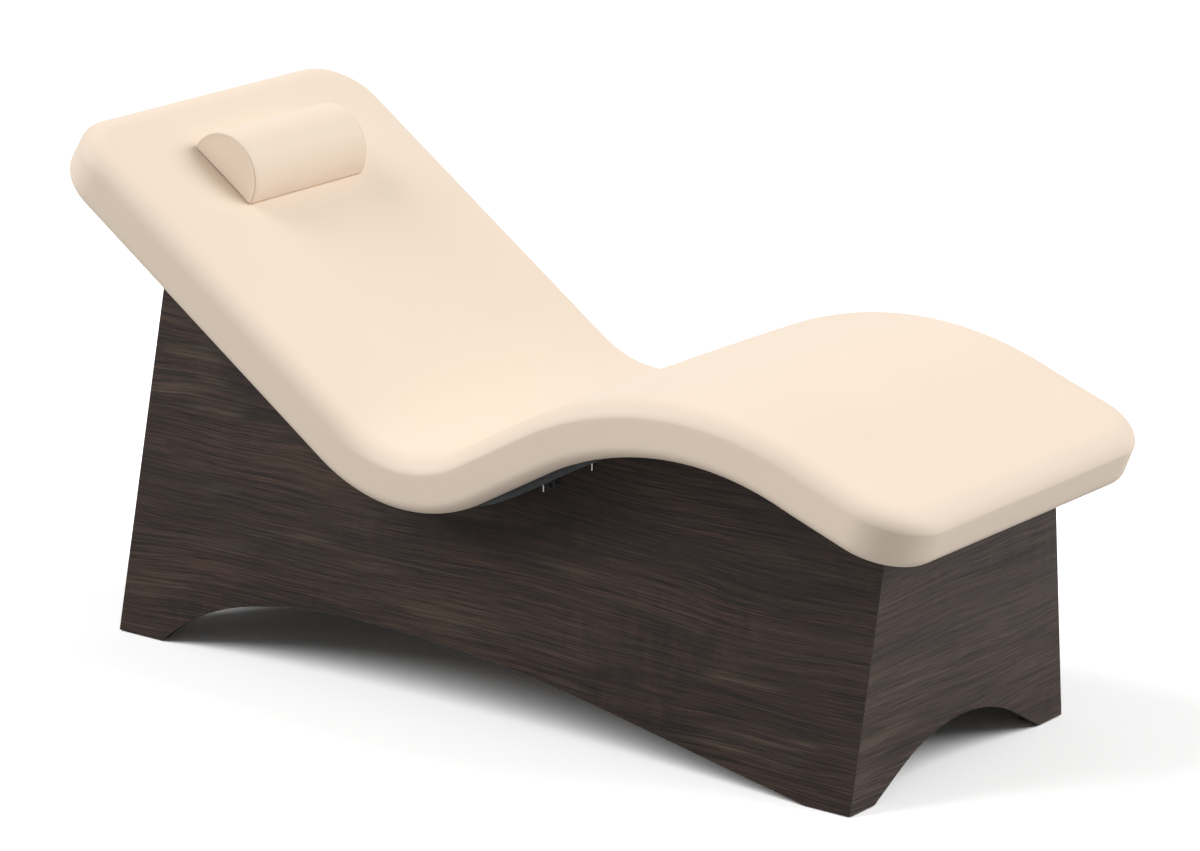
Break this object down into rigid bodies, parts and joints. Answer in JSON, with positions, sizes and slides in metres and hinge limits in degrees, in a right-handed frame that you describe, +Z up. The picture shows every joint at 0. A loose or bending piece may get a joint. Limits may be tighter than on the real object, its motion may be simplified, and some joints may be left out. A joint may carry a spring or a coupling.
{
  "type": "spa relaxation lounger",
  "caption": "Padded wave-shaped relaxation lounger with a half-round head pillow, on a tapered dark wood plinth with arched lower edges.",
  "frame": {"origin": "on the floor, below the middle of the whole lounger", "axes": "+X along the lounger from the head end to the foot end, +Y across it, +Z up"},
  "size_m": [1.8171, 0.762, 0.9201],
  "materials": {
    "vinyl": "smooth matte upholstery vinyl, cream",
    "foam": "open cell foam",
    "plywood": "birch plywood, uncoated",
    "dust_cloth": "thin non-woven cloth, dark grey",
    "fastening_tape": "hook and loop tape",
    "rail_board": "dark grey lacquered board",
    "dark_laminate": "satin dark wood laminate with fine level grain",
    "pale_wood": "planed softwood, uncoated",
    "zinc_steel": "bright zinc plated",
    "black_steel": "black powder coat",
    "brass": "plain",
    "glide_plastic": "black, fine texture"
  },
  "bodies": {
    "plinth_and_cushion": {"cushion_cover": "vinyl", "cushion_foam": "foam", "deck_board": "plywood", "dust_cover": "dust_cloth", "loop_strips": "fastening_tape", "deck_rail_left": "rail_board", "deck_rail_right": "rail_board", "head_rail": "rail_board", "foot_rail": "rail_board", "deck_bolts": "zinc_steel", "rail_clip_left": "black_steel", "rail_clip_right": "black_steel", "clip_screws": "black_steel", "side_panel_left": "dark_laminate", "side_panel_right": "dark_laminate", "head_panel": "dark_laminate", "foot_panel": "dark_laminate", "corner_block_head_left": "pale_wood", "corner_block_head_right": "pale_wood", "corner_block_foot_left": "pale_wood", "corner_block_foot_right": "pale_wood", "cleat_left": "pale_wood", "cleat_right": "pale_wood", "back_bearer": "pale_wood", "seat_bearer": "pale_wood", "knee_bearer": "pale_wood", "bearer_angles": "zinc_steel", "angle_screws": "zinc_steel", "cleat_screws": "zinc_steel", "block_screws": "zinc_steel", "deck_screws": "zinc_steel", "glide_inserts": "brass"},
    "head_pillow": {"pillow_cover": "vinyl", "pillow_foam": "foam", "hook_strips": "fastening_tape"},
    "glide_pad_head_left": {"glide_pad_head_left": "glide_plastic"},
    "glide_stud_head_left": {"glide_stud_head_left": "zinc_steel"},
    "glide_pad_head_right": {"glide_pad_head_right": "glide_plastic"},
    "glide_stud_head_right": {"glide_stud_head_right": "zinc_steel"},
    "glide_pad_foot_left": {"glide_pad_foot_left": "glide_plastic"},
    "glide_stud_foot_left": {"glide_stud_foot_left": "zinc_steel"},
    "glide_pad_foot_right": {"glide_pad_foot_right": "glide_plastic"},
    "glide_stud_foot_right": {"glide_stud_foot_right": "zinc_steel"}
  },
  "joints": [
    {"name": "head_pillow_lift", "type": "slide", "parent": "plinth_and_cushion", "child": "head_pillow", "axis": [0.5721, 0, 0.8202], "range_m": [0, 0.15]},
    {"name": "head_left_glide_travel", "type": "slide", "parent": "plinth_and_cushion", "child": "glide_pad_head_left", "axis": [0, 0, -1], "range_m": [0, 0.012]},
    {"name": "head_left_stud_turn", "type": "hinge", "parent": "glide_pad_head_left", "child": "glide_stud_head_left", "pos_m": [-0.7795, -0.27629, 0.02], "axis": [0, 0, -1], "range_deg": [0, 3457]},
    {"name": "head_right_glide_travel", "type": "slide", "parent": "plinth_and_cushion", "child": "glide_pad_head_right", "axis": [0, 0, -1], "range_m": [0, 0.012]},
    {"name": "head_right_stud_turn", "type": "hinge", "parent": "glide_pad_head_right", "child": "glide_stud_head_right", "pos_m": [-0.7795, 0.27629, 0.02], "axis": [0, 0, -1], "range_deg": [0, 3457]},
    {"name": "foot_left_glide_travel", "type": "slide", "parent": "plinth_and_cushion", "child": "glide_pad_foot_left", "axis": [0, 0, -1], "range_m": [0, 0.012]},
    {"name": "foot_left_stud_turn", "type": "hinge", "parent": "glide_pad_foot_left", "child": "glide_stud_foot_left", "pos_m": [0.73698, -0.27629, 0.02], "axis": [0, 0, -1], "range_deg": [0, 3457]},
    {"name": "foot_right_glide_travel", "type": "slide", "parent": "plinth_and_cushion", "child": "glide_pad_foot_right", "axis": [0, 0, -1], "range_m": [0, 0.012]},
    {"name": "foot_right_stud_turn", "type": "hinge", "parent": "glide_pad_foot_right", "child": "glide_stud_foot_right", "pos_m": [0.73698, 0.27629, 0.02], "axis": [0, 0, -1], "range_deg": [0, 3457]}
  ],
  "couplings": [
    {"joint": "head_left_stud_turn", "follows": "head_left_glide_travel", "rad_per_m": 5026.5},
    {"joint": "head_right_stud_turn", "follows": "head_right_glide_travel", "rad_per_m": 5026.5},
    {"joint": "foot_left_stud_turn", "follows": "foot_left_glide_travel", "rad_per_m": 5026.5},
    {"joint": "foot_right_stud_turn", "follows": "foot_right_glide_travel", "rad_per_m": 5026.5}
  ]
}
